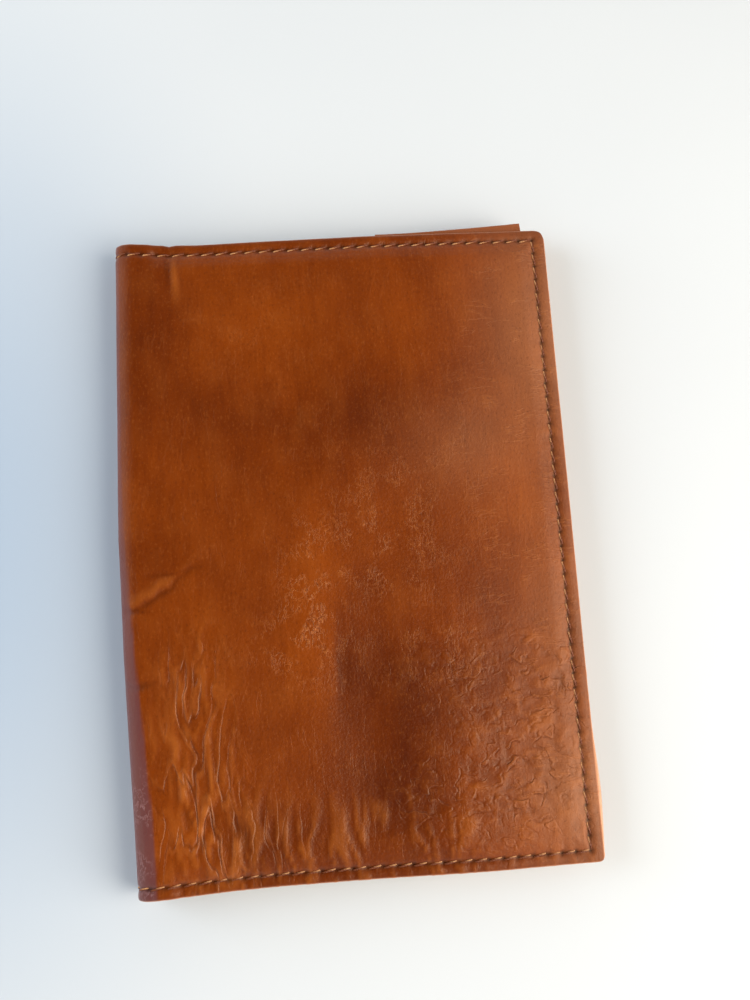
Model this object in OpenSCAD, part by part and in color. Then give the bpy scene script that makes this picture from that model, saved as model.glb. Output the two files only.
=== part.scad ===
// Passport holder. One piece of leather is folded round a rolled spine. Each cover has
// a felt filler, a lining and a sleeve that a passport's cover slides into, and one
// lockstitch seam runs round the whole wrap.
// The holder lies closed on its back cover, with its spine at -X and its head at +Y.
// Every cover layer is drawn in the cover's own frame: X from the fold to the fore edge,
// Y along the spine, and Z inwards from the outer face.

/* [Cover] */
// Closed width, from the back of the spine to the fore edge
cover_w = 97; // [80:1:130]
// Height along the spine
cover_h = 140; // [110:1:180]
// Radius of the corners at the fore edge
corner_r = 2.5; // [0.5:0.5:3]

/* [Layers] */
// Thickness of the outer leather
leather_t = 1.2; // [0.8:0.1:1.6]
// Thickness of the felt filler, which is also how far it raises the cover's middle
filler_t = 0.6; // [0.4:0.1:1]
// Thickness of the lining
lining_t = 0.5; // [0.3:0.1:0.7]
// Thickness of the sleeve leather
sleeve_t = 1; // [0.6:0.1:1.4]
// Film of glue between layers
glue_t = 0.05; // [0.02:0.01:0.1]
// Height of the pocket under a sleeve
pocket_t = 0.6; // [0.4:0.1:1]
// Gap between the two sleeves when the holder is closed and empty
page_gap = 1.1; // [0.6:0.1:6]

/* [Sleeves] */
// Width of a sleeve, from the fore edge to its mouth
sleeve_w = 39; // [25:1:48]
// How far the front sleeve stands past the leather at the head
sleeve_proud = 1; // [0.5:0.1:2]
// How far before the fore edge that proud edge ends
proud_end = 5; // [4:0.5:10]
// How far the sleeves and the lining stop inside the leather's cut edge
trim = 0.4; // [0.2:0.1:0.8]

/* [Seam] */
// Distance between needle holes
stitch_pitch = 3.1; // [2.5:0.1:5]
// Distance of the seam from the head and tail edges
edge_margin = 2.5; // [2:0.1:3.5]
// Distance of the seam from the fore edge
fore_margin = 3; // [2:0.1:4]
// Distance from the seam to the raised middle of the cover
raise_margin = 1.3; // [1:0.1:2]
// Width of the flattened thread
thread_w = 0.6; // [0.4:0.1:0.8]
// Thickness of the flattened thread
thread_t = 0.35; // [0.25:0.05:0.45]
// Length of a stitch's leg along the seam
leg_l = 0.5; // [0.4:0.1:0.7]
// Clearance of the thread in a needle hole, on each side
hole_clear = 0.1; // [0.05:0.05:0.15]

/* [Fold] */
// Flat strip beside the roll that stays level with it
gutter_w = 4; // [3.5:0.5:6]
// Gap in the layers at each fold line
fold_gap = 0.2; // [0.1:0.05:0.3]

/* [Hidden] */
$fn = 64;

// Levels in a cover's frame. The gutter lies at the roll's level, and the filler raises
// everything else inwards by its own thickness.
gutter_in = leather_t;
gutter_lining = gutter_in + glue_t;
gutter_face = gutter_lining + lining_t;
border_out = filler_t;
border_in = filler_t + leather_t;
lining_z = border_in + glue_t;
lining_face = lining_z + lining_t;
sleeve_face = lining_face + sleeve_t;
stack_t = sleeve_face + pocket_t;

// The rolled spine closes round both stacks and the gap between them.
spine_r = stack_t + page_gap / 2;
closed_t = 2 * spine_r;
lining_r = spine_r - gutter_lining;
lining_r_in = spine_r - gutter_face;

// Places in a cover's frame
panel_w = cover_w - spine_r;
fold_x = spine_r - cover_w / 2;
mid_y = -sleeve_proud / 2;
mouth_u = panel_w - sleeve_w;
bend_w = leather_t;
lining_step = gutter_w - bend_w - hole_clear;
riser_end = lining_step - lining_t - hole_clear;
riser_w = 0.5;
filler_clear = 0.2;

// The seam: a row of needle holes along head and tail, one along the fore edge, and
// holes a quarter of a right angle each side of the spine's two fold lines
seam_v = cover_h / 2 - edge_margin;
seam_u = panel_w - fore_margin;
row_n = round(seam_u / stitch_pitch + 0.5);
row_pitch = seam_u / (row_n - 0.5);
row_us = [for (i = [0 : row_n - 1]) (i + 0.5) * row_pitch];
fore_n = round(2 * seam_v / stitch_pitch);
fore_vs = [for (i = [1 : fore_n - 1]) -seam_v + i * 2 * seam_v / fore_n];
fold_angle = 45;
roll_angle = fold_angle / 2;
head_tail = [-seam_v, seam_v];

LEATHER = "#9a4a18";
SLEEVE = "#a9632f";
LINING = "#8a6a4c";
FELT = "#c9bda6";
THREAD = "#c07a3e";

// ---- Placing ----

module on_back() { translate([fold_x, mid_y, 0]) children(); }

module on_front() { translate([fold_x, mid_y, closed_t]) mirror([0, 0, 1]) children(); }

// Draws a cross-section, with X across the cover and Y inwards, along the spine
module along_spine(length, v = 0) {
    translate([0, v, 0]) rotate([90, 0, 0]) linear_extrude(length, center = true)
        children();
}

// Draws a cross-section, with X along the spine and Y inwards, across the cover
module across_cover(length, u) {
    translate([u, 0, 0]) rotate([90, 0, 90]) linear_extrude(length, center = true)
        children();
}

// Puts what stands at the fold on the roll instead, that angle round it
module on_roll(angle) {
    translate([0, 0, spine_r]) rotate([0, angle, 0]) translate([0, 0, -spine_r])
        children();
}

// ---- Cross-sections of the roll ----

module ring(r_out, r_in) {
    translate([0, spine_r]) difference() {
        circle(r_out);
        circle(r_in);
    }
}

// The roll's part that belongs to a cover, up to the fold line
module shoulder_part(r_out, r_in) {
    reach = 3 * spine_r;
    back_off = fold_gap / 2 * sin(fold_angle);
    intersection() {
        ring(r_out, r_in);
        translate([0, spine_r]) polygon([
            [0, -2 * back_off], [0, -reach], [back_off - reach, -back_off - reach]
        ]);
    }
}

// The roll's part between the two fold lines
module spine_part(r_out, r_in) {
    reach = 3 * spine_r;
    intersection() {
        ring(r_out, r_in);
        translate([-fold_gap / 2 / sin(fold_angle), spine_r])
            polygon([[0, 0], [-reach, -reach], [-reach, reach]]);
    }
}

// ---- Plans of a cover ----

module rounded_panel(u0, u1, v0, v1, r) {
    translate([u0, v0]) square([u1 - r - u0, v1 - v0]);
    translate([u1 - 2 * r, v0 + r]) square([2 * r, v1 - v0 - 2 * r]);
    for (v = [v0 + r, v1 - r]) translate([u1 - r, v]) circle(r);
}

// The raised middle of the cover, made smaller by inset
module middle_plan(u0, inset) {
    v = seam_v - raise_margin - inset;
    translate([u0, -v]) square([seam_u - raise_margin - inset - u0, 2 * v]);
}

// ---- Needle holes and the thread's groove ----

module needle_hole(u, v, along_u) {
    l = leg_l + 2 * hole_clear;
    w = thread_w + 2 * hole_clear;
    size = along_u ? [l, w] : [w, l];
    translate([u - size[0] / 2, v - size[1] / 2, -1])
        cube([size[0], size[1], stack_t + 2]);
}

module cover_holes(from_u = 0) {
    for (v = head_tail, u = row_us) if (u > from_u) needle_hole(u, v, true);
    for (v = fore_vs) needle_hole(seam_u, v, false);
}

module roll_holes(angles) {
    for (v = head_tail, a = angles) on_roll(a) needle_hole(0, v, true);
}

// Where the seam crosses the gutter and the roll, it lies sunk in the leather.
module thread_groove() {
    for (v = head_tail) along_spine(thread_w + 2 * hole_clear, v) {
        ring(spine_r + 1, spine_r - thread_t - glue_t);
        translate([0, -1]) square([gutter_w, 1 + thread_t + glue_t]);
    }
}

// ---- Layers of a cover ----

module cover_leather() {
    difference() {
        union() {
            along_spine(cover_h) {
                shoulder_part(spine_r, spine_r - leather_t);
                square([gutter_w, leather_t]);
            }
            linear_extrude(leather_t) middle_plan(gutter_w - bend_w, 0);
            translate([0, 0, border_out]) linear_extrude(leather_t) difference() {
                rounded_panel(gutter_w - bend_w, panel_w, -cover_h / 2, cover_h / 2,
                              corner_r);
                middle_plan(0, bend_w);
            }
        }
        difference() {
            thread_groove();
            translate([0, -cover_h, spine_r]) cube([cover_w, 2 * cover_h, closed_t]);
        }
        cover_holes();
        roll_holes([roll_angle]);
    }
}

module cover_filler() {
    translate([0, 0, leather_t]) linear_extrude(filler_t)
        middle_plan(lining_step + filler_clear, bend_w + filler_clear);
}

module cover_lining() {
    half_h = cover_h / 2 - trim;
    difference() {
        union() {
            along_spine(2 * half_h) {
                shoulder_part(lining_r, lining_r_in);
                translate([0, gutter_lining]) square([lining_step, lining_t]);
                translate([lining_step - lining_t, gutter_lining])
                    square([lining_t, lining_face - gutter_lining]);
            }
            translate([0, 0, lining_z]) linear_extrude(lining_t)
                rounded_panel(lining_step - lining_t, panel_w - trim, -half_h, half_h,
                              corner_r);
        }
        cover_holes();
        roll_holes([roll_angle]);
    }
}

// The band is sewn down at head, fore edge and tail, and the rest stands off the
// lining, so that it makes a pocket that is open at its mouth.
module cover_sleeve(proud) {
    half_h = cover_h / 2 - trim;
    lift = lining_face + pocket_t;
    difference() {
        union() {
            translate([0, 0, lining_face]) linear_extrude(sleeve_t) difference() {
                union() {
                    rounded_panel(mouth_u, panel_w - trim, -half_h, half_h, corner_r);
                    translate([mouth_u, 0])
                        square([sleeve_w - proud_end, cover_h / 2 + proud]);
                }
                middle_plan(0, sleeve_t);
            }
            translate([0, 0, lift]) linear_extrude(sleeve_t) middle_plan(mouth_u, 0);
        }
        cover_holes(mouth_u);
    }
}

// ---- The seam's two threads ----

// A bar that lies on a layer, with a leg through each needle hole
function comb(start, end, free_z, seat_z, tip_z, legs) = concat(
    [[start, seat_z], [start, free_z], [end, free_z], [end, seat_z]],
    [for (i = [len(legs) - 1 : -1 : 0], p = [
        [leg_l / 2, seat_z], [leg_l / 2, tip_z],
        [-leg_l / 2, tip_z], [-leg_l / 2, seat_z]
    ]) [legs[i] + p[0], p[1]]]
);

function legs_between(low, high) = [for (u = row_us) if (u > low && u <= high) u];

module roll_leg(angle, r_out, r_in) {
    translate([0, spine_r]) rotate(-angle) translate([-leg_l / 2, -r_out])
        square([leg_l, r_out - r_in]);
}

module needle_row() {
    end = seam_u + thread_w / 2;
    shoulder_part(spine_r, spine_r - thread_t);
    roll_leg(roll_angle, spine_r - thread_t / 2, spine_r - leather_t);
    polygon(comb(0, gutter_w + riser_w, 0, thread_t, gutter_in,
                 legs_between(0, gutter_w)));
    translate([gutter_w, 0]) square([riser_w, border_out]);
    polygon(comb(gutter_w, end, border_out - thread_t, border_out, border_in,
                 legs_between(gutter_w, seam_u + 1)));
}

module bobbin_row() {
    end = seam_u + thread_w / 2;
    riser = mouth_u - hole_clear - riser_w;
    shoulder_part(lining_r_in - glue_t, lining_r_in - thread_t);
    roll_leg(roll_angle, lining_r, lining_r_in - thread_t / 2);
    polygon(comb(0, riser_end, gutter_face + thread_t, gutter_face, gutter_lining,
                 legs_between(0, riser_end)));
    translate([riser_end - riser_w, gutter_face])
        square([riser_w, lining_face + thread_t - gutter_face]);
    polygon(comb(riser_end - riser_w, riser + riser_w, lining_face + thread_t,
                 lining_face, lining_z, legs_between(lining_step, riser)));
    translate([riser, lining_face]) square([riser_w, sleeve_t + thread_t]);
    polygon(comb(riser, end, sleeve_face + thread_t, sleeve_face, lining_z,
                 legs_between(mouth_u, seam_u + 1)));
}

module cover_needle_thread() {
    for (v = head_tail) along_spine(thread_w, v) needle_row();
    across_cover(thread_w, seam_u)
        polygon(comb(-seam_v, seam_v, border_out - thread_t, border_out, border_in,
                     fore_vs));
}

module cover_bobbin_thread() {
    for (v = head_tail) along_spine(thread_w, v) bobbin_row();
    across_cover(thread_w, seam_u)
        polygon(comb(-seam_v, seam_v, sleeve_face + thread_t, sleeve_face, lining_z,
                     fore_vs));
}

// ---- Sub-parts ----

module back_cover_leather() { color(LEATHER) on_back() cover_leather(); }
module back_filler() { color(FELT) on_back() cover_filler(); }
module back_lining() { color(LINING) on_back() cover_lining(); }
module back_sleeve() { color(SLEEVE) on_back() cover_sleeve(-trim); }
module back_needle_thread() { color(THREAD) on_back() cover_needle_thread(); }
module back_bobbin_thread() { color(THREAD) on_back() cover_bobbin_thread(); }

module front_cover_leather() { color(LEATHER) on_front() cover_leather(); }
module front_filler() { color(FELT) on_front() cover_filler(); }
module front_lining() { color(LINING) on_front() cover_lining(); }
module front_sleeve() { color(SLEEVE) on_front() cover_sleeve(sleeve_proud); }
module front_needle_thread() { color(THREAD) on_front() cover_needle_thread(); }
module front_bobbin_thread() { color(THREAD) on_front() cover_bobbin_thread(); }

spine_angles = [90 - roll_angle, 90 + roll_angle];

module spine_leather() {
    color(LEATHER) on_back() difference() {
        along_spine(cover_h) spine_part(spine_r, spine_r - leather_t);
        thread_groove();
        roll_holes(spine_angles);
    }
}

module spine_lining() {
    color(LINING) on_back() difference() {
        along_spine(cover_h - 2 * trim) spine_part(lining_r, lining_r_in);
        roll_holes(spine_angles);
    }
}

module spine_needle_thread() {
    color(THREAD) on_back() for (v = head_tail) along_spine(thread_w, v) {
        spine_part(spine_r, spine_r - thread_t);
        for (a = spine_angles)
            roll_leg(a, spine_r - thread_t / 2, spine_r - leather_t);
    }
}

module spine_bobbin_thread() {
    color(THREAD) on_back() for (v = head_tail) along_spine(thread_w, v) {
        spine_part(lining_r_in - glue_t, lining_r_in - thread_t);
        for (a = spine_angles) roll_leg(a, lining_r, lining_r_in - thread_t / 2);
    }
}

back_cover_leather();
back_filler();
back_lining();
back_sleeve();
back_needle_thread();
back_bobbin_thread();
spine_leather();
spine_lining();
spine_needle_thread();
spine_bobbin_thread();
front_cover_leather();
front_filler();
front_lining();
front_sleeve();
front_needle_thread();
front_bobbin_thread();
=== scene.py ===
"""Looks of a leather passport holder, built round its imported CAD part.

Every leather and cloth layer is drawn in developed coordinates, in millimetres: s runs
round the roll from the spine's mid-line, positive over the front cover and negative over
the back cover, v runs along the spine, and lift stands outwards from the leather's face.
"""

from math import pi, radians

import bmesh
import bpy
import numpy as np
from mathutils import Matrix, Vector, noise


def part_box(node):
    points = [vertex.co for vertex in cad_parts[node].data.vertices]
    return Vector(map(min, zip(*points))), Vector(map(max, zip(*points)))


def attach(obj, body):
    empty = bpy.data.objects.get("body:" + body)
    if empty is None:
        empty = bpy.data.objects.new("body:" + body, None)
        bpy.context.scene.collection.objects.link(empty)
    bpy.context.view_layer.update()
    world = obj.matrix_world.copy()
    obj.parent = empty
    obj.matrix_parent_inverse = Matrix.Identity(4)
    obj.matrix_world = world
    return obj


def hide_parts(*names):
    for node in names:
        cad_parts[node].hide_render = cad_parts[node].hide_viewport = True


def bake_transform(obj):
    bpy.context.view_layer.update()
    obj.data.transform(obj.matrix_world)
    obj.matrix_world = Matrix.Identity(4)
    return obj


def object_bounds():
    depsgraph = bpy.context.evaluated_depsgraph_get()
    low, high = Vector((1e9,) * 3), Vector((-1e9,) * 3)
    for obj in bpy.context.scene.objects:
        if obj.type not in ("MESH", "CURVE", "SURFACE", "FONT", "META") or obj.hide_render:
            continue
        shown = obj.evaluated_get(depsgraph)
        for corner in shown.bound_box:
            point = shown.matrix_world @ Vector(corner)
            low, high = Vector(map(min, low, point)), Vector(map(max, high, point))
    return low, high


MM = 0.001

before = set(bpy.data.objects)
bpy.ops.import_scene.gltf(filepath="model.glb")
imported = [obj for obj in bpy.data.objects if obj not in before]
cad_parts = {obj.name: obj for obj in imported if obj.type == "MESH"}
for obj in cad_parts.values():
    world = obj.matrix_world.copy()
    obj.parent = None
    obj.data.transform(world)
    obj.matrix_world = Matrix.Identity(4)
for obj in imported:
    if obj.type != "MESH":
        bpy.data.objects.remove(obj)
cad_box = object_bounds()


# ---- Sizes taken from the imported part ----


def extent(node):
    low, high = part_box(node)
    return np.array(low) / MM, np.array(high) / MM


leather_low, leather_high = extent("front_cover_leather")
filler_low, filler_high = extent("back_filler")
lining_low, lining_high = extent("back_lining")
sleeve_low, sleeve_high = extent("front_sleeve")
back_sleeve_low, back_sleeve_high = extent("back_sleeve")
thread_low, thread_high = extent("front_needle_thread")

R = cad_box[1].z / MM / 2
FOLD_X = cad_box[0].x / MM + R
MID_Y = (leather_low[1] + leather_high[1]) / 2
HALF_H = (leather_high[1] - leather_low[1]) / 2
PANEL = leather_high[0] - FOLD_X
ROLL = pi * R / 2
LEATHER_T = filler_low[2]
FILLER_T = filler_high[2] - filler_low[2]
THREAD_W = 0.6  # as wide as the CAD's threads
SEAM_V = (thread_high[1] - thread_low[1] - THREAD_W) / 2
SEAM_U = thread_high[0] - THREAD_W / 2 - FOLD_X
LINING_H = (lining_high[1] - lining_low[1]) / 2
LINING_W = lining_high[0] - FOLD_X
GLUE = 0.05
LINING_DEPTH = LEATHER_T + GLUE
LINING_FACE = back_sleeve_low[2]
LINING_T = lining_high[2] - LINING_DEPTH - FILLER_T
SLEEVE_FACE = back_sleeve_high[2]
MOUTH_U = sleeve_low[0] - FOLD_X
PROUD = sleeve_high[1] - leather_high[1]
ROW_N = 29
ROW_PITCH = SEAM_U / (ROW_N - 0.5)
FORE_N = 44
FORE_PITCH = 2 * SEAM_V / FORE_N
GUTTER = 4.0
POCKET_T = 0.6

# Looks only. A rim is the width of a cut edge's rounding, corners are a layer's radii at the
# tail and at the head, and the first column lies beside the split at the spine's mid-line.
LEATHER_RIM = 0.4
LINING_RIM = 0.2
SLEEVE_RIM = 0.36
FRONT_CORNERS = (1.3, 2.7)
BACK_CORNERS = (2.0, 2.5)
LINING_CORNERS = (2.0, 2.4)
FIRST_COLUMN = 0.03
RIM_STEP = 0.12
LAP_GAP = 0.02
FELT_INSET = 2.7
STITCH_W = 0.42
STITCH_T = 0.34
STITCH_SLANT = 0.32
GROOVE_DEPTH = 0.22
BOBBIN_PROUD = 0.04
FAR = 9.0  # farther than any distance that a pattern looks at


# ---- Small helpers ----


def smooth(t):
    t = np.clip(t, 0, 1)
    return t * t * (3 - 2 * t)


def blob(x, y, cx, cy, rx, ry, turn=0.0):
    """A soft round patch about (cx, cy), with its long side turned by that many degrees."""
    c, s = np.cos(radians(turn)), np.sin(radians(turn))
    dx = (x - cx) * c + (y - cy) * s
    dy = (y - cy) * c - (x - cx) * s
    return np.exp(-((dx / rx) ** 2) - (dy / ry) ** 2)


def blobs(x, y, patches):
    return sum(amount * blob(x, y, *patch) for amount, *patch in patches)


def waves(x, y, seed):
    """Smooth noise from -1 to 1, at one wave for each unit of x and y."""
    falloff, step_up, octaves = 1.0, 2.0, 2
    points = zip(np.ravel(x), np.ravel(y))
    made = [noise.fractal(Vector((a, b, seed)), falloff, step_up, octaves) for a, b in points]
    return np.reshape(made, np.shape(x))


def folds(x, y, seed, width):
    """Thin branching ridges with a hollow on each side, from 1 down to -0.4."""
    away = waves(x, y, seed) / width
    return np.exp(-(away**2)) - 0.4 * np.exp(-((away / 2.4) ** 2))


def lines(end, *stretches):
    """Grid lines from each stretch's start to the next one, about that step apart."""
    starts = [start for start, step in stretches] + [end]
    made = []
    for (start, step), stop in zip(stretches, starts[1:]):
        n = max(1, round((stop - start) / step))
        made.extend(start + (stop - start) * np.arange(n) / n)
    return np.array(made + [end])


def both_ways(half):
    """The same grid lines on each side of zero."""
    return np.concatenate([-half[:0:-1], half])


# ---- The shape that all the layers share ----


def world_xy(s, v):
    """Plan position of a point on a cover, in millimetres."""
    return FOLD_X + np.abs(s) - ROLL, v + MID_Y


def bow(v):
    """How far the spine bulges, most just above the middle."""
    stops = [-70, -62, -50, -40, -30, -20, -8, 4, 14, 30, 45, 58, 66, 70]
    bulge = [-0.3, -0.15, 0.2, 0.6, 0.9, 1.2, 1.35, 1.6, 1.45, 1.1, 0.85, 0.55, 0.45, 0.3]
    return np.interp(v, stops, bulge)


def waist(s, v):
    """How far the head and tail edges have drawn in, mostly beside the spine."""
    away = np.abs(s)
    head = np.interp(
        away, [0, 3, 8, 14, 20, 31, 40, 58, 76, 99],
        [0.1, 0.7, 1.1, 1.3, 1.4, 1.0, 0.75, 0.25, 0, -0.2],
    )
    tail = np.interp(away, [0, 3, 14, 22, 31, 49, 76, 99], [0.2, 0.6, 0.8, 1.1, 1.15, 0.85, 0.2, 0])
    notch = 0.3 * blob(away, 0, 14.6, 0, 0.8, 1)
    return np.where(v > 0, head + notch * (s > 0), -tail) * np.abs(v / HALF_H) ** 3


def peek(s, v, lift):
    """The inner layers of the front stand out past its fore edge near the tail."""
    inner = smooth((-lift - 1.05) / 0.6) * (s > 0)
    return 0.9 * inner * blob(0, v, 0, -56, 1, 11) * smooth((s - ROLL - SEAM_U + 6) / 8)


def swell(s, v):
    """Gentle unevenness of the front cover that every layer follows."""
    x, y = world_xy(s, v)
    made = blobs(x, y, [
        (0.4, 0, 6, 44, 60),
        (0.3, -9, -20, 7, 18, -6),
        (1.0, 19, -44, 13, 26),
        (-0.3, 0, -44, 6, 20),
        (-0.35, -20, 30, 16, 16),
        (0.3, 10, 38, 20, 14),
        (0.3, -28, -46, 9, 22),
        (-0.25, 14, 8, 16, 12),
    ])
    made = made + 0.25 * waves(x / 30, y / 34, 3.7)
    return np.where(s > 0, made * smooth((np.abs(s) - 2) / 14), 0)


def place(s, v, lift):
    """Where a point of a layer lies, in millimetres."""
    away = np.abs(s)
    turn = np.clip(s / R, -pi / 2, pi / 2)
    flat = np.maximum(away - ROLL, 0)
    # The roll is a little squarer than a circle, most of all near the tail.
    square = 1 + 0.08 * np.sin(2 * turn) ** 2 * (0.3 + 0.7 * smooth((20 - v) / 50))
    reach = (R + lift + swell(s, v)) * square
    x = FOLD_X + flat - reach * np.cos(turn) + peek(s, v, lift)
    x = x - bow(v) * (1 - smooth((away - 4) / 36))
    return np.stack([x, MID_Y + v - waist(s, v), R + reach * np.sin(turn)], axis=-1)


def round_corner(s, v, end, half, radii):
    """Bends the grid's fore-edge corners to arcs; radii are for the tail and the head."""
    r = np.where(v < 0, radii[0], radii[1])
    a = np.clip((np.abs(s) - (end - r)) / r, 0, 1)
    b = np.clip((np.abs(v) - (half - r)) / r, 0, 1)
    in_corner = (a > 0) & (b > 0)
    s_arc = np.sign(s) * (end - r + r * a * np.sqrt(1 - b * b / 2))
    v_arc = np.sign(v) * (half - r + r * b * np.sqrt(1 - a * a / 2))
    return np.where(in_corner, s_arc, s), np.where(in_corner, v_arc, v)


# ---- Building sheets ----


def shown(name, data):
    """A new object in the scene."""
    made = bpy.data.objects.new(name, data)
    bpy.context.scene.collection.objects.link(made)
    return made


def two_faced_grid(name, n, m):
    """A box of n by m cells on its top and bottom; its rim has one cell from face to face.

    Material 0 is for the top, 1 for the rim and 2 for the bottom.
    """
    bm = bmesh.new()
    bmesh.ops.create_grid(bm, x_segments=n, y_segments=m, size=1)
    made = bmesh.ops.extrude_face_region(bm, geom=bm.faces[:], use_keep_orig=True)
    top = [part for part in made["geom"] if isinstance(part, bmesh.types.BMVert)]
    bmesh.ops.translate(bm, verts=top, vec=(0, 0, 1))
    bmesh.ops.recalc_face_normals(bm, faces=bm.faces[:])
    for face in bm.faces:
        face.smooth = True
        heights = {round(v.co.z) for v in face.verts}
        face.material_index = 1 if len(heights) == 2 else 2 - 2 * heights.pop()
    for edge in bm.edges:
        edge.smooth = len({face.material_index for face in edge.link_faces}) == 1
    mesh = bpy.data.meshes.new(name)
    bm.to_mesh(mesh)
    bm.free()
    return mesh


def closed_sheet(name, s_lines, v_lines, shape, outer, inner, finish, rim=0.0):
    """A sheet of two faces joined round the rim, with its cut edges rounded by rim.

    shape bends the flat grid, outer and inner give each face's lift, and finish is the
    materials of the outer face, the rim and the inner face.
    """
    n, m = len(s_lines) - 1, len(v_lines) - 1
    mesh = two_faced_grid(name, n, m)
    co = coordinates(mesh)
    low, high = co.min(0), co.max(0)
    share = (co - low) / (high - low)
    flat_s = s_lines[np.rint(share[:, 0] * n).astype(int)]
    flat_v = v_lines[np.rint(share[:, 1] * m).astype(int)]
    edge = rim_distance(flat_s, flat_v)
    s, v = shape(flat_s, flat_v)
    drop = 0.0
    if rim:
        near = 1 - np.clip(edge / rim, 0, 1)
        drop = 0.9 * rim * (1 - np.sqrt(1 - near**2))
    top = share[:, 2] > 0.5
    lift = np.where(top, outer(s, v) - drop, inner(s, v) + drop)
    set_coordinates(mesh, place(s, v, lift))
    shift = np.where(top, 0, LEATHER_T)
    set_uv(mesh, np.stack([s + shift, v + shift], axis=-1))
    piece = shown(name, mesh)
    for material in finish:
        mesh.materials.append(material)
    set_values(piece, "edge", 1 - smooth(edge / LEATHER_RIM))
    return piece, s, v


def rim_distance(s, v):
    """Distance to the sheet's nearest cut edge; a split at the spine isn't one."""
    away = np.abs(s)
    inner = away - away.min() if away.min() > 0 else away + FAR
    return np.minimum(np.minimum(away.max() - away, v.max() - np.abs(v)), inner)


def coordinates(mesh):
    co = np.zeros(len(mesh.vertices) * 3)
    mesh.vertices.foreach_get("co", co)
    return co.reshape(-1, 3)


def set_coordinates(mesh, points):
    mesh.vertices.foreach_set("co", (points * MM).astype(np.float32).ravel())
    mesh.update()


def set_uv(mesh, points):
    corner = np.zeros(len(mesh.loops), int)
    mesh.loops.foreach_get("vertex_index", corner)
    layer = mesh.uv_layers.new(name="UVMap")
    layer.uv.foreach_set("vector", points[corner].astype(np.float32).ravel())


def set_values(piece, name, values):
    layer = piece.data.attributes.new(name, "FLOAT", "POINT")
    layer.data.foreach_set("value", np.clip(values, 0, 1).astype(np.float32))


def bend_with_spine(piece, is_front):
    """Bakes the sheet's placement into its mesh, the same for the front and the back."""
    if is_front:
        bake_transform(piece)
    else:
        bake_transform(piece)


# ---- Materials ----


class Shader:
    """A node material with the few node shapes that the finishes need."""

    def __init__(self, name):
        self.material = bpy.data.materials.new(name)
        self.material.use_nodes = True
        self.tree = self.material.node_tree
        self.bsdf = self.tree.nodes["Principled BSDF"]

    def put(self, socket, value):
        if isinstance(value, bpy.types.NodeSocket):
            self.tree.links.new(value, socket)
        else:
            socket.default_value = value

    def node(self, kind, inputs=(), **settings):
        made = self.tree.nodes.new(kind)
        for key, value in settings.items():
            setattr(made, key, value)
        for key, value in dict(inputs).items():
            self.put(made.inputs[key], value)
        return made

    def math(self, operation, a, b=0.0):
        return self.node("ShaderNodeMath", {0: a, 1: b}, operation=operation).outputs[0]

    def plus(self, *values):
        total = values[0]
        for value in values[1:]:
            total = self.math("ADD", total, value)
        return total

    def times(self, a, b):
        return self.math("MULTIPLY", a, b)

    def spread(self, value, low, high, to_low=0.0, to_high=1.0):
        made = self.node("ShaderNodeMapRange", {
            "Value": value, "From Min": low, "From Max": high,
            "To Min": to_low, "To Max": to_high,
        }, interpolation_type="SMOOTHSTEP")
        return made.outputs["Result"]

    def value(self, name):
        return self.node("ShaderNodeAttribute", attribute_name=name).outputs["Fac"]

    def place(self, scale=(1, 1), turn=0.0, warp=0.0, warp_scale=0.1):
        """The developed coordinates in millimetres, scaled and warped."""
        uv = self.node("ShaderNodeUVMap", uv_map="UVMap").outputs[0]
        if warp:
            wander = self.node("ShaderNodeTexNoise", {
                "Vector": uv, "Scale": warp_scale, "Detail": 2.0,
            }, noise_dimensions="2D")
            away = self.node("ShaderNodeVectorMath", {
                0: wander.outputs["Color"], 1: (0.5, 0.5, 0.5),
            }, operation="SUBTRACT").outputs[0]
            push = self.node("ShaderNodeVectorMath", {
                0: away, 1: (warp, warp, 0),
            }, operation="MULTIPLY").outputs[0]
            uv = self.node("ShaderNodeVectorMath", {0: uv, 1: push}).outputs[0]
        return self.node("ShaderNodeMapping", {
            "Vector": uv, "Scale": (*scale, 1), "Rotation": (0, 0, radians(turn)),
        }).outputs[0]

    def noise(self, vector, scale, detail=3.0, roughness=0.55):
        return self.node("ShaderNodeTexNoise", {
            "Vector": vector, "Scale": scale, "Detail": detail, "Roughness": roughness,
        }, noise_dimensions="2D").outputs["Fac"]

    def cells(self, vector, scale):
        """Distance to the nearest edge between small cells."""
        return self.node("ShaderNodeTexVoronoi", {
            "Vector": vector, "Scale": scale,
        }, voronoi_dimensions="2D", feature="DISTANCE_TO_EDGE").outputs["Distance"]

    def ridge(self, vector, scale, width, level=0.5, detail=3.0):
        """1 along the thin branching lines where smooth noise crosses that level."""
        away = self.math("SUBTRACT", self.noise(vector, scale, detail), level)
        away = self.math("ABSOLUTE", away)
        return self.spread(away, 0.0, width, 1.0, 0.0)

    def ramp(self, value, stops):
        """The colour between the two nearest of the (place, colour) stops."""
        made = self.node("ShaderNodeValToRGB", {"Fac": value})
        for at, color in stops[1:-1]:
            made.color_ramp.elements.new(at)
        for element, (at, color) in zip(made.color_ramp.elements, stops):
            element.position = at
            element.color = color
        return made.outputs[0]

    def mix(self, share, a, b):
        made = self.node("ShaderNodeMix", data_type="RGBA")
        self.put(made.inputs["Factor"], share)
        self.put(made.inputs["A"], a)
        self.put(made.inputs["B"], b)
        return made.outputs["Result"]

    def finish(self, color, roughness, height, depth, **sockets):
        """Colour, roughness, and bumps that are that many millimetres deep."""
        bump = self.node("ShaderNodeBump", {"Height": height, "Distance": depth * MM})
        self.put(self.bsdf.inputs["Base Color"], color)
        self.put(self.bsdf.inputs["Roughness"], roughness)
        self.put(self.bsdf.inputs["Normal"], bump.outputs[0])
        for key, value in sockets.items():
            self.put(self.bsdf.inputs[key.replace("_", " ")], value)
        return self.material


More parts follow.
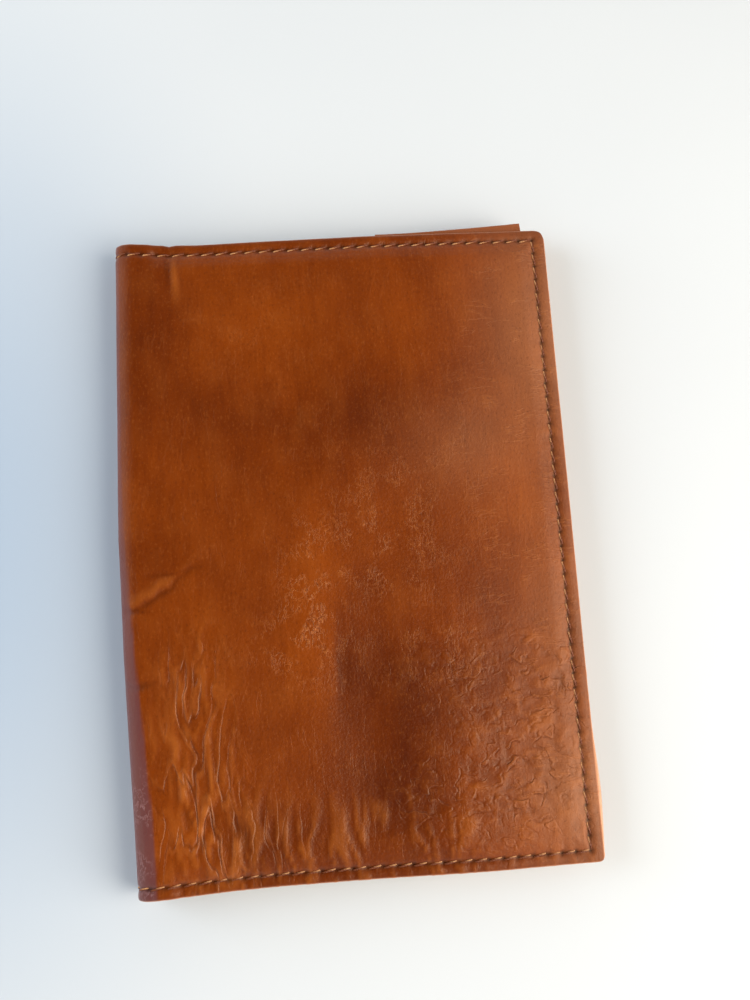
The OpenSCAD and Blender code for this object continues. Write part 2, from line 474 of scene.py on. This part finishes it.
def rgb(r, g, b):
    """A colour from its 0 to 255 values, as the shader's linear colour."""
    c = np.array([r, g, b]) / 255
    c = np.where(c <= 0.04045, c / 12.92, ((c + 0.055) / 1.055) ** 2.4)
    return (*c, 1)


def crackle_patterns(sh, patchy):
    """Fine broken ridges and dark lines of dried leather."""
    bent = sh.place((1.0, 0.6), warp=3.0, warp_scale=0.12)
    specks = sh.spread(sh.noise(bent, 1.5, 2.0), 0.56, 0.7)
    crackle = sh.plus(sh.times(sh.ridge(bent, 0.75, 0.05), 0.6), sh.times(specks, 0.5))
    area = sh.times(patchy, sh.value("crackle"))
    return sh.times(crackle, area), sh.times(sh.ridge(bent, 0.75, 0.04, 0.56), area)


def long_fold_patterns(sh):
    """Ridges and cracks that run along the spine."""
    spot = sh.place((1.0, 0.22), warp=4.0, warp_scale=0.07)
    area = sh.value("long_folds")
    long_folds = sh.times(sh.ridge(spot, 0.3, 0.06, detail=1.5), area)
    return long_folds, sh.times(sh.ridge(spot, 0.3, 0.045, 0.56, 1.5), area)


def net_patterns(sh, fine):
    """Broken creases that run every way, and the ridges between them."""
    spot = sh.place((0.8, 1.0), turn=15, warp=4.0, warp_scale=0.1)
    broken = sh.spread(sh.noise(fine, 0.35, 2.0), 0.4, 0.62)
    area = sh.times(sh.value("net"), broken)
    net = sh.times(sh.ridge(spot, 0.27, 0.07, detail=1.5), area)
    return net, sh.times(sh.ridge(spot, 0.27, 0.07, 0.58, 1.5), area)


def cross_pattern(sh, fine):
    """Faint streaks across the duller half of the front cover."""
    spot = sh.place((0.22, 1.0), turn=4, warp=2.0, warp_scale=0.12)
    cross = sh.times(sh.ridge(spot, 0.5, 0.05), sh.value("matte"))
    return sh.times(cross, sh.spread(sh.noise(fine, 0.13, 2.0), 0.47, 0.62))


def oiled_color(sh):
    """The leather's own uneven colour, from dark brown to orange."""
    streaks = sh.noise(sh.place((1.6, 0.16), warp=3.0, warp_scale=0.08), 0.5, 3)
    mottle = sh.noise(sh.place((1.0, 0.6), warp=8.0, warp_scale=0.05), 0.06, 4)
    tone = sh.plus(
        sh.value("tone"), sh.times(mottle, 0.5), sh.times(streaks, 0.22), -0.36
    )
    return sh.ramp(tone, [
        (0.0, rgb(80, 24, 1)), (0.35, rgb(110, 42, 2)),
        (0.7, rgb(136, 58, 5)), (1.0, rgb(164, 80, 16)),
    ])


def cover_leather_finish():
    """Glossy oiled leather: folds, crackle, painted highlights and shade where the piece says."""
    sh = Shader("cover_leather")
    fine = sh.place()
    grain = sh.noise(fine, 1.3, 4.0, 0.6)
    pores = sh.cells(sh.place(warp=0.8, warp_scale=0.6), 1.1)
    patchy = sh.spread(sh.noise(fine, 0.16, 2.0), 0.42, 0.6)
    flecks = sh.noise(sh.place((1.0, 0.55)), 2.1, 2.0)
    streak_ridge = sh.ridge(sh.place((1.0, 0.2), warp=2.5, warp_scale=0.1), 0.34, 0.04)
    streak_ridge = sh.times(streak_ridge, patchy)
    crackle, crackle_lines = crackle_patterns(sh, patchy)
    long_folds, cracks = long_fold_patterns(sh)
    net, net_ridge = net_patterns(sh, fine)
    cross = cross_pattern(sh, fine)
    # Paler crests: the leather's own light flecks, and painted highlights on ridges and folds.
    ridges = sh.plus(
        sh.times(crackle, 1.7), sh.times(streak_ridge, 0.12), sh.times(long_folds, 0.7),
        sh.times(net_ridge, 0.5), sh.times(sh.spread(flecks, 0.6, 0.74), 0.3),
        sh.times(cross, 0.4),
    )
    # Darker lines: the leather's own dark flecks and cracks, and painted shade in creases.
    crease_shade_and_specks = sh.plus(
        sh.times(net, 0.24), sh.times(cracks, 0.4), sh.times(crackle_lines, 0.4),
        sh.times(sh.spread(flecks, 0.4, 0.26), 0.3),
    )
    # Painted sky reflection on the roll's side, paler where crackle gives painted streak
    # highlights.
    side = sh.mix(sh.times(crackle, 0.6), rgb(101, 58, 57), rgb(170, 130, 132))
    # Paler, duller colour painted for the broad sheen on the right half.
    color = sh.mix(sh.times(sh.value("painted_sheen"), 0.7), oiled_color(sh), rgb(178, 118, 78))
    color = sh.mix(sh.times(ridges, 0.34), color, rgb(196, 114, 52))
    color = sh.mix(crease_shade_and_specks, color, rgb(72, 26, 5))
    # Painted highlights on the creases' crests, and painted shade in their hollows.
    color = sh.mix(sh.times(sh.value("painted_ridge_highlight"), 0.48), color, rgb(200, 112, 44))
    color = sh.mix(sh.times(sh.value("deep"), 0.4), color, rgb(62, 20, 2))
    # Paints the sky reflection onto the roll's side.
    color = sh.mix(sh.times(sh.value("side"), 0.85), color, side)
    color = sh.mix(sh.times(sh.value("edge"), 0.75), color, rgb(214, 146, 104))
    # Painted shade in the needle holes and along the stitch groove.
    color = sh.mix(sh.value("hole"), color, rgb(40, 15, 4))
    height = sh.plus(
        sh.times(grain, 0.2), sh.times(pores, 0.12), sh.times(crackle, 0.3),
        sh.times(streak_ridge, 0.06), sh.times(long_folds, 0.3), sh.times(cracks, -0.4),
        sh.times(net, -0.5), sh.times(net_ridge, 0.4), sh.times(cross, 0.15),
    )
    roughness = sh.plus(sh.times(grain, 0.14), sh.times(sh.value("matte"), 0.16), 0.28)
    return sh.finish(
        color, roughness, height, 0.3, Specular_IOR_Level=0.36,
        Specular_Tint=(1.0, 0.84, 0.62, 1),
    )


def raw_edge_finish():
    sh = Shader("raw_edge")
    fibres = sh.noise(sh.place(), 2.6, 4.0, 0.7)
    color = sh.mix(fibres, rgb(206, 140, 104), rgb(240, 190, 152))
    return sh.finish(color, sh.spread(fibres, 0, 1, 0.55, 0.8), fibres, 0.12)


def flesh_finish():
    sh = Shader("leather_flesh_side")
    nap = sh.noise(sh.place(), 3.0, 5.0, 0.7)
    color = sh.mix(nap, rgb(142, 98, 62), rgb(178, 130, 88))
    return sh.finish(color, sh.spread(nap, 0, 1, 0.8, 0.95), nap, 0.15)


def sleeve_leather_finish():
    sh = Shader("sleeve_leather")
    grain = sh.noise(sh.place(), 1.2, 5.0, 0.62)
    pores = sh.cells(sh.place(warp=0.7, warp_scale=0.7), 1.3)
    mottle = sh.noise(sh.place(), 0.07, 3.0)
    color = sh.mix(sh.spread(mottle, 0.2, 0.8), rgb(138, 70, 28), rgb(155, 82, 36))
    height = sh.plus(sh.times(grain, 0.5), sh.times(pores, 0.4))
    return sh.finish(color, sh.spread(grain, 0.2, 0.8, 0.4, 0.6), height, 0.18)


def lining_finish():
    """Brown twill: fine diagonal ribs, with thick and thin threads."""
    sh = Shader("lining")
    twill = sh.node("ShaderNodeTexWave", {
        "Vector": sh.place(turn=45), "Scale": 0.42, "Distortion": 1.2, "Detail": 2.0,
    }).outputs["Fac"]
    weft = sh.node("ShaderNodeTexWave", {
        "Vector": sh.place(), "Scale": 0.6, "Distortion": 0.8, "Detail": 1.0,
    }, bands_direction="Y").outputs["Fac"]
    uneven = sh.noise(sh.place((0.2, 1.5)), 1.0, 3.0)
    color = sh.mix(uneven, rgb(96, 66, 42), rgb(128, 92, 62))
    color = sh.mix(sh.times(twill, 0.35), color, rgb(70, 46, 28))
    height = sh.plus(sh.times(twill, 0.6), sh.times(weft, 0.3))
    return sh.finish(
        color, sh.spread(uneven, 0, 1, 0.75, 0.9), height, 0.12, Sheen_Weight=0.15
    )


def felt_finish():
    sh = Shader("filler")
    nap = sh.noise(sh.place(), 2.2, 5.0, 0.75)
    color = sh.mix(nap, rgb(176, 164, 140), rgb(212, 202, 180))
    return sh.finish(color, sh.spread(nap, 0, 1, 0.85, 1.0), nap, 0.2)


def thread_finish():
    """Waxed tan thread with a twist, its inner ends painted lighter as a highlight."""
    sh = Shader("thread")
    twist = sh.node("ShaderNodeTexWave", {
        "Vector": sh.place(turn=35), "Scale": 0.9, "Distortion": 0.6,
    }).outputs["Fac"]
    fuzz = sh.noise(sh.place(), 3.0, 3.0)
    color = sh.mix(fuzz, rgb(104, 46, 14), rgb(134, 66, 24))
    # Painted highlight on the thread's inner ends.
    painted_sheen = sh.times(sh.spread(sh.value("inward"), 0.55, 0.9), 0.85)
    color = sh.mix(painted_sheen, color, rgb(216, 154, 98))
    return sh.finish(color, sh.spread(fuzz, 0, 1, 0.45, 0.65), twist, 0.08)


LEATHER = (cover_leather_finish(), raw_edge_finish(), flesh_finish())
SLEEVE_FACES = sleeve_leather_finish()
SLEEVE_LEATHER = (SLEEVE_FACES, LEATHER[1], SLEEVE_FACES)
LINING = (lining_finish(),) * 3
FELT = (felt_finish(),) * 3
THREAD = thread_finish()


# ---- The seam ----


def inside_seam(s, v):
    """Distance inwards from the nearest line of stitching."""
    u = np.abs(s) - ROLL
    return np.minimum(SEAM_V - np.abs(v), SEAM_U - u)


def on_panel(s):
    """0 on the roll and the gutter, 1 over the rest of a cover."""
    return smooth((np.abs(s) - ROLL - 2) / (GUTTER - 1))


def needle_holes(s, v, size):
    """1 in the middle of each needle hole, falling to 0 outside it."""
    u = np.abs(s) - ROLL
    row = np.abs(((u / ROW_PITCH) % 1) - 0.5) * ROW_PITCH
    on_roll = np.abs(np.abs(s) % (R * pi / 4) - R * pi / 8)
    row = np.where(u < 0, on_roll, row)
    along_row = np.hypot(row, np.abs(v) - SEAM_V)
    fore = np.abs((((v + SEAM_V) / FORE_PITCH + 0.5) % 1) - 0.5) * FORE_PITCH
    along_fore = np.hypot(fore, u - SEAM_U)
    along_row = np.where(u < SEAM_U + 0.5, along_row, FAR)
    along_fore = np.where(np.abs(v) < SEAM_V + 0.5, along_fore, FAR)
    return np.exp(-((np.minimum(along_row, along_fore) / size) ** 2))


# ---- Outer leather ----


def border_level(s, v):
    """The border and the stitching lie lower than the filled middle of a cover."""
    inside = inside_seam(s, v)
    return -FILLER_T * on_panel(s) * (1 - smooth((inside + 0.3) / 4.2))


def seam_relief(s, v):
    """The groove that the thread pulls into the leather, and the border's waves."""
    inside = inside_seam(s, v)
    u = np.abs(s) - ROLL
    corner = smooth((np.abs(v) - SEAM_V - 0.8) / 0.5) * smooth((u - SEAM_U - 0.8) / 0.5)
    groove = -GROOVE_DEPTH * np.exp(-((inside / 0.6) ** 2)) * (1 - corner)
    dent = -0.3 * needle_holes(s, v, 0.65)
    round_off = -0.3 * (1 - smooth((inside + 3) / 1.4))
    return groove + dent + round_off * (inside < 0)


def creased(s, v):
    """Folds and puckers of the front cover's face, in millimetres."""
    x, y = world_xy(s, v)
    wander = x + 2.6 * waves(x / 15, y / 13, 2.0)
    long_folds = folds(wander / 5.0, y / 24, 1.5, 0.13)
    thin_folds = folds(wander / 2.8, y / 15, 8.5, 0.17)
    made = (0.5 * long_folds + 0.32 * thin_folds) * long_fold_area(x, y)
    made = made + net_creases(x, y)
    tail = smooth((-48 - y) / 14) * smooth((x + 40) / 8) * (1 - 0.6 * smooth((x - 14) / 10))
    made = made + 0.34 * folds(wander / 4.0, y / 26, 6.0, 0.15) * tail
    fore = np.exp(-(((x - FOLD_X - SEAM_U) / 2.6) ** 2))
    made = made + 0.09 * waves(x / 9, y / 2.1, 7.0) * fore
    made = made + 0.06 * waves(x / 6, y / 9, 17.0)
    return made + single_creases(x, y)


def net_creases(x, y):
    """Creases that run every way, near the tail's fore corner."""
    across = y + 1.6 * waves(x / 9, y / 9, 5.0)
    made = 0.26 * folds(x / 7.0, across / 4.6, 4.5, 0.16)
    made = made - 0.3 * folds(x / 5.5, across / 5.0, 14.5, 0.13)
    made = made + 0.2 * waves(x / 5.0, y / 3.6, 9.0)
    return made * net_area(x, y)


def single_creases(x, y):
    """The crease that runs in from the spine, dents on the roll, and two short folds."""
    wavy = y + 1.6 * waves(x / 5, y / 6, 31.0)
    made = blobs(x, wavy, [
        (-0.26, -40.5, -8.5, 7.5, 0.5, 33), (0.16, -41, -7.3, 7.5, 0.9, 33),
        (-0.2, -38, -4.5, 5, 0.4, 8), (-0.4, -46, -27, 3, 0.6), (-0.3, -46, -12, 3, 0.6),
    ])
    made = made - 0.09 * blob(x + 0.9 * waves(x / 6, y / 4, 41.0), y, -4.4, -26, 1.2, 9, -3)
    return made + blobs(x, y, [(-0.2, -36.9, 63, 0.7, 4, 4), (0.25, -35.4, 61, 0.8, 4.5, 4)])


def long_fold_area(x, y):
    return blobs(x, y, [
        (1.0, -35, -54, 8, 19), (0.4, -22, -62, 9, 9), (0.5, -35, -28, 6, 12),
    ])


def net_area(x, y):
    return blobs(x, y, [
        (1.0, 33, -52, 13, 15), (0.8, 40, -32, 10, 10), (0.5, 12, -56, 10, 10),
        (0.45, 22, -28, 12, 8),
    ])


def crackle_area(x, y):
    return blobs(x, y, [
        (1.0, -10, -12, 5, 13), (1.0, -13, -21, 8, 5), (0.6, 6, -2, 12, 9),
        (0.35, 18, -24, 12, 8), (0.25, 10, 12, 20, 12), (0.15, -20, 50, 14, 12),
    ])


# Where a broad sheen is painted into the colour, over the right half of the front.
def painted_sheen_area(x, y):
    return blobs(x, y, [
        (0.5, 45, 46, 12, 26), (0.25, 26, 20, 14, 10), (0.5, 45, -57, 11, 15),
        (0.3, 45, -20, 9, 24),
    ])


def tone_of(x, y):
    """How light the leather is, from its dark patches to the orange ones."""
    step = 0.3 * blob(x, y, -5.5, -26, 9, 9) * (0.5 - smooth((x + 6.2) / 1.4))
    return 0.42 + step + blobs(x, y, [
        (0.06, -30, 14, 14, 30), (0.2, -30, -40, 12, 20), (0.34, -9, -9, 6, 14, -6),
        (0.14, -16, 51, 9, 9), (-0.1, -30, 24, 12, 9), (-0.12, -14, -58, 12, 10),
        (-0.34, 6, -44, 9, 20), (-0.2, 0, 28, 26, 10), (-0.12, -40, 50, 7, 18),
        (0.14, 40, 10, 10, 40), (0.03, 36, -56, 14, 14), (0.1, 10, 54, 24, 9),
        (-0.15, 20, -4, 14, 10), (-0.12, 12, -28, 12, 10), (-0.1, -40, -2, 7, 5),
        (0.14, -38, -56, 8, 14), (0.1, 22, 6, 14, 12), (-0.1, -4, -32, 5, 14),
        (-0.1, 20, -32, 8, 10), (-0.1, 8, -53, 14, 7), (0.12, 24, -4, 10, 9),
        (0.1, -24, 66, 24, 4), (-0.08, 4, 46, 8, 7), (-0.14, -25, -59, 8, 8),
        (0.12, 34, -63, 12, 4), (-0.08, 36, -28, 7, 8),
    ])


def roll_side_reflection(s, v):
    """1 on the roll's side, which gets a painted sky reflection; widens towards the tail."""
    stops = [-70, -55, -32, -10, 20, 70]
    reach = ROLL * np.interp(v, stops, [0.95, 0.92, 0.8, 0.64, 0.46, 0.4])
    reach = reach + 0.25 * waves(v / 5, v * 0, 21.0)
    share = np.interp(v, [-70, -20, 20, 70], [1.0, 0.95, 0.5, 0.3])
    return share * (1 - smooth((np.abs(s) - reach) / 0.5))


def plain_outer(s, v):
    return border_level(s, v) + seam_relief(s, v)


def front_outer(s, v):
    puff = 0.06 * np.exp(-(((inside_seam(s, v) - 3.6) / 2.2) ** 2)) * on_panel(s)
    return plain_outer(s, v) + puff + creased(s, v) * smooth(np.abs(s) / 3)


def leather_inner(s, v):
    return border_level(s, v) - LEATHER_T


def cover_sheet(name, is_front, outer, radii):
    """One half of the outer leather, from the spine's mid-line to the fore edge."""
    end = ROLL + PANEL
    roll_step, panel_step, seam_step = (0.5, 0.628, 0.34) if is_front else (0.6, 1.05, 0.5)
    s_lines = lines(
        end, (0, FIRST_COLUMN), (FIRST_COLUMN, roll_step), (ROLL, panel_step),
        (end - 6.6, seam_step), (end - LEATHER_RIM, RIM_STEP),
    )
    v_lines = both_ways(lines(
        HALF_H, (0, panel_step), (HALF_H - 6.2, seam_step), (HALF_H - LEATHER_RIM, RIM_STEP)
    ))
    if not is_front:
        s_lines = -s_lines[::-1]
    piece, s, v = closed_sheet(
        name, s_lines, v_lines, lambda s, v: round_corner(s, v, end, HALF_H, radii),
        outer, leather_inner, LEATHER, rim=LEATHER_RIM,
    )
    leather_marks_and_painted_light(piece, s, v, is_front)
    bend_with_spine(piece, is_front)
    return piece


def leather_marks_and_painted_light(piece, s, v, is_front):
    """Values the finish reads: the leather's tone and patterns, and its painted light and shade."""
    x, y = world_xy(s, v)
    border = 0.07 * smooth(-inside_seam(s, v) / 0.6)
    tone = tone_of(x, y) if is_front else tone_of(-x, y) * 0.9
    # Painted shade along the stitch groove, and in the needle holes below.
    groove = 0.45 * np.exp(-((inside_seam(s, v) / 0.28) ** 2))
    crease = creased(s, v) if is_front else 0 * s
    net = np.clip(net_area(x, y), 0, 1)
    tail_highlight_boost = 1 + 0.6 * smooth((-y - 52) / 10) * smooth((-x - 28) / 8)
    # More crackle on the roll near the tail: bumps, and light painted streak highlights there.
    roll_streak_highlights = (1 - smooth(np.abs(s) - ROLL + 1)) * smooth((-y - 35) / 15)
    set_values(piece, "tone", tone - border)
    set_values(piece, "hole", np.maximum(0.95 * needle_holes(s, v, 0.5), groove))
    # Crests of the creases get painted highlights, most near the tail; hollows get painted shade.
    set_values(piece, "painted_ridge_highlight", crease / 0.4 * tail_highlight_boost * (1 - 0.4 * net))
    set_values(piece, "deep", -crease / 0.22 * (1 - 0.75 * net))
    # Where the roll's side gets its painted sky reflection.
    set_values(piece, "side", roll_side_reflection(s, v))
    set_values(piece, "painted_sheen", painted_sheen_area(x, y))
    set_values(piece, "long_folds", long_fold_area(x, y) * 0.9)
    set_values(piece, "net", net_area(x, y) * 0.9)
    set_values(piece, "crackle", crackle_area(x, y) + 0.05 + 0.7 * roll_streak_highlights)
    set_values(piece, "matte", smooth((x - 14) / 24))


def build_cover_leather():
    front = cover_sheet("front_leather", True, front_outer, FRONT_CORNERS)
    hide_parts("front_cover_leather", "spine_leather")
    back = cover_sheet("back_leather", False, plain_outer, BACK_CORNERS)
    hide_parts("back_cover_leather")


# ---- Filler, lining and sleeves ----


def build_fillers():
    start = filler_low[0] - FOLD_X
    wide, half = SEAM_U - FELT_INSET - start, SEAM_V - FELT_INSET
    for body, sign in (("back", -1), ("front", 1)):
        s_lines = np.sort(sign * lines(ROLL + start + wide, (ROLL + start, 2.0)))
        v_lines = both_ways(lines(half, (0, 2.0)))
        piece, _, _ = closed_sheet(
            body + "_filler_felt", s_lines, v_lines, lambda s, v: (s, v),
            lambda s, v: leather_inner(s, v) - LAP_GAP,
            lambda s, v: np.full(s.shape, -LEATHER_T - FILLER_T), FELT,
        )
        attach(piece, body)
        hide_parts(body + "_filler")


def lining_outer(s, v):
    return -LINING_DEPTH - FILLER_T * smooth((np.abs(s) - ROLL - 1.6) / 1.6)


def lining_inner(s, v):
    return lining_outer(s, v) - LINING_T


def build_linings():
    end = ROLL + LINING_W
    for body, sign in (("back", -1), ("front", 1)):
        s_lines = lines(
            end, (0, FIRST_COLUMN), (FIRST_COLUMN, 0.45), (ROLL, 0.5), (ROLL + 5, 1.4),
            (end - LINING_RIM, 0.1),
        )
        s_lines = np.sort(sign * s_lines)
        v_lines = both_ways(lines(LINING_H, (0, 1.4), (LINING_H - LINING_RIM, 0.1)))
        piece, _, _ = closed_sheet(
            body + "_lining_cloth", s_lines, v_lines,
            lambda s, v: round_corner(s, v, end, LINING_H, LINING_CORNERS),
            lining_outer, lining_inner, LINING, rim=LINING_RIM,
        )
        bend_with_spine(piece, sign > 0)
        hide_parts(body + "_lining")
        if sign > 0:
            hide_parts("spine_lining")


def sleeve_shape(s, v, proud):
    """Rounded corners; a proud sleeve's head edge stands out, more near the fore edge."""
    end = ROLL + LINING_W
    s, v = round_corner(s, v, end, LINING_H, LINING_CORNERS)
    if not proud:
        return s, v
    reach = smooth((end - 4.6 - np.abs(s)) / 0.3 + 0.5)
    top = smooth((v - LINING_H + 3) / 3) * reach
    slant = 2.6 * smooth((np.abs(s) - ROLL - MOUTH_U) / 60)
    return s, v + top * (proud + slant + HALF_H - LINING_H)


def sleeve_outer(s, v):
    raised = smooth((inside_seam(s, v) - 1.4) / 1.2)
    return -LINING_FACE - LAP_GAP - POCKET_T * raised


def build_sleeves():
    """The bands that a passport's covers slide into, raised over their pockets."""
    start, end = ROLL + MOUTH_U, ROLL + LINING_W
    thick = SLEEVE_FACE - LINING_FACE - POCKET_T
    for body, sign, proud in (("back", -1, 0), ("front", 1, PROUD)):
        s_lines = lines(
            end, (start, RIM_STEP), (start + SLEEVE_RIM, 0.8), (end - 6.0, 0.25),
            (end - 4.0, 0.7), (end - SLEEVE_RIM, RIM_STEP),
        )
        s_lines = np.sort(sign * s_lines)
        v_lines = both_ways(lines(
            LINING_H, (0, 1.2), (LINING_H - 6, 0.4), (LINING_H - SLEEVE_RIM, RIM_STEP)
        ))
        piece, _, _ = closed_sheet(
            body + "_sleeve_leather", s_lines, v_lines,
            lambda s, v, proud=proud: sleeve_shape(s, v, proud),
            sleeve_outer, lambda s, v: sleeve_outer(s, v) - thick,
            SLEEVE_LEATHER, rim=SLEEVE_RIM,
        )
        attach(piece, body)
        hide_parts(body + "_sleeve")


# ---- Stitches ----


def stitch_rows(on_roll):
    """Start and end of each stitch of one cover, as (s, v) pairs."""
    roll_holes = [R * pi / 8, 3 * R * pi / 8, ROLL + ROW_PITCH / 2]
    row = [ROLL + (i + 0.5) * ROW_PITCH for i in range(ROW_N)]
    fore = [-SEAM_V + i * FORE_PITCH for i in range(FORE_N + 1)]
    holes = roll_holes if on_roll else row
    made = []
    for v in (-SEAM_V, SEAM_V):
        made += [((a, v), (b, v)) for a, b in zip(holes, holes[1:])]
    if not on_roll:
        s = ROLL + SEAM_U
        made += [((s, a), (s, b)) for a, b in zip(fore, fore[1:])]
    return np.array(made)


def row_of_balls(name, count, apart):
    """A mesh of balls of radius 1 in a row along x."""
    bm = bmesh.new()
    for k in range(count):
        away = Matrix.Translation((apart * k, 0, 0))
        bmesh.ops.create_uvsphere(
            bm, u_segments=8, v_segments=10, radius=1, matrix=away
        )
    for face in bm.faces:
        face.smooth = True
    mesh = bpy.data.meshes.new(name)
    bm.to_mesh(mesh)
    bm.free()
    return mesh


def stitches(name, ends, seat):
    """A bead of thread for each stitch, sunk into its needle hole at both ends.

    seat turns each point's rise from the face that the thread lies on into its lift.
    """
    apart = 3
    mesh = row_of_balls(name, len(ends), apart)
    mesh.materials.append(THREAD)
    bead = coordinates(mesh)
    number = np.rint(bead[:, 0] / apart).astype(int)
    bead[:, 0] -= apart * number
    along = bead[:, 2]
    full = (1 - np.abs(along) ** 5) ** 0.5 / np.maximum(np.sqrt(1 - along**2), 1e-6)
    full = np.where(np.abs(along) > 0.999, 0, full)
    a, b = ends[number, 0], ends[number, 1]
    step = b - a
    length = np.linalg.norm(step, axis=-1, keepdims=True)
    across = np.concatenate([-step[..., 1:], step[..., :1]], axis=-1) / length
    share = (along * 0.47 + 0.5)[..., None]
    side = bead[:, 0] * full * STITCH_W / 2 + STITCH_SLANT * along
    at = a + step * share + across * side[..., None]
    s, v = at[..., 0], at[..., 1]
    rise = 0.1 - 0.42 * np.abs(along) ** 3
    lift = seat(s, v, rise + bead[:, 1] * full * STITCH_T / 2)
    set_coordinates(mesh, place(s, v, lift))
    around = np.arctan2(bead[:, 1], bead[:, 0])
    set_uv(mesh, np.stack([around * STITCH_W / 2, share[:, 0] * length[:, 0]], axis=-1))
    piece = shown(name, mesh)
    # How far in each point lies, for the painted highlight on the thread's inner ends.
    set_values(piece, "inward", 0.5 + 1.6 * inside_seam(s, v))
    return piece


def needle_seat(s, v, rise):
    return border_level(s, v) - GROOVE_DEPTH - LAP_GAP + rise


def bobbin_seat(s, v, rise):
    u = np.abs(s) - ROLL
    over = np.where(u > MOUTH_U, SLEEVE_FACE - POCKET_T, LINING_FACE)
    face = np.where(u > 2, over, -lining_inner(s, v))
    return -face - rise - BOBBIN_PROUD


def build_stitches():
    mid = np.array([((-R * pi / 8, v), (R * pi / 8, v)) for v in (-SEAM_V, SEAM_V)])
    for kind, seat, depth in (
        ("needle", needle_seat, LEATHER_T), ("bobbin", bobbin_seat, LINING_DEPTH + LINING_T)
    ):
        piece = stitches(f"spine_{kind}_stitches", mid, seat)
        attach(piece, "spine")
        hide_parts(f"spine_{kind}_thread")
        for body, sign in (("back", -1), ("front", 1)):
            flip = np.array([sign, 1])
            piece = stitches(f"{body}_{kind}_stitches", stitch_rows(False) * flip, seat)
            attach(piece, body)
            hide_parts(f"{body}_{kind}_thread")
            piece = stitches(f"{body}_roll_{kind}_stitches", stitch_rows(True) * flip, seat)
            bend_with_spine(piece, sign > 0)


# ---- Stage: table top, lights and camera ----


def build_table():
    bm = bmesh.new()
    bmesh.ops.create_grid(bm, x_segments=1, y_segments=1, size=1.5)
    mesh = bpy.data.meshes.new("table_top")
    bm.to_mesh(mesh)
    bm.free()
    floor = shown("table_top", mesh)
    sh = Shader("table_top")
    spot = sh.node("ShaderNodeTexCoord").outputs["Object"]
    cloud = sh.node("ShaderNodeTexNoise", {"Vector": spot, "Scale": 9.0}).outputs["Fac"]
    color = sh.mix(cloud, rgb(216, 217, 216), rgb(224, 225, 222))
    color = sh.mix(sh.times(near_left(sh, spot), 0.9), color, rgb(164, 180, 196))
    mesh.materials.append(sh.finish(color, 0.6, cloud, 0.02))


def near_left(sh, spot):
    """The bluish shade that falls on the table to the left of the holder."""
    moved = sh.node("ShaderNodeMapping", {
        "Vector": spot, "Location": (1.0, -0.06, 0), "Scale": (11.0, 6.0, 0),
    }).outputs[0]
    reach = sh.node("ShaderNodeVectorMath", {0: moved}, operation="LENGTH")
    return sh.spread(reach.outputs["Value"], 0.0, 1.0, 1.0, 0.0)


def area_light(name, place_mm, size_mm, power, color, in_gloss=True):
    """A rectangular light that faces the holder; in_gloss is whether gloss shows it."""
    data = bpy.data.lights.new(name, "AREA")
    data.shape = "RECTANGLE"
    data.size, data.size_y = (side * MM for side in size_mm)
    data.energy = power
    data.color = color
    lamp = shown(name, data)
    lamp.visible_glossy = in_gloss
    lamp.location = Vector(place_mm) * MM
    lamp.rotation_euler = (-lamp.location).to_track_quat("-Z", "Y").to_euler()


def build_lights():
    area_light("window", (500, -200, 400), (560, 700), 6.4, (1.0, 0.94, 0.86))
    area_light("sky", (-520, 120, 220), (300, 600), 3.4, (0.74, 0.85, 0.98), in_gloss=False)


def build_room():
    """A room that is bright at the level of the table and dark overhead."""
    world = bpy.data.worlds.new("room")
    world.use_nodes = True
    nodes, links = world.node_tree.nodes, world.node_tree.links
    up = nodes.new("ShaderNodeSeparateXYZ")
    links.new(nodes.new("ShaderNodeTexCoord").outputs["Generated"], up.inputs[0])
    fade = nodes.new("ShaderNodeMapRange")
    links.new(up.outputs["Z"], fade.inputs["Value"])
    span = {"From Min": 0.4, "From Max": 0.82, "To Min": 1.16, "To Max": 0.01}
    for key, value in span.items():
        fade.inputs[key].default_value = value
    background = nodes["Background"]
    links.new(fade.outputs["Result"], background.inputs["Strength"])
    background.inputs["Color"].default_value = (0.88, 0.92, 0.97, 1)
    bpy.context.scene.world = world
    bpy.context.scene.view_settings.view_transform = "Standard"


def build_camera():
    data = bpy.data.cameras.new("camera")
    data.sensor_width = 36
    data.lens = 34.67
    data.clip_start, data.clip_end = 0.01, 10
    camera = shown("camera", data)
    camera.location = Vector((-17.0, -21.6, 213.9)) * MM
    camera.rotation_euler = [radians(a) for a in (8.75, -5.56, -3.92)]
    bpy.context.scene.camera = camera


build_cover_leather()
build_fillers()
build_linings()
build_sleeves()
build_stitches()
build_table()
build_lights()
build_room()
build_camera()
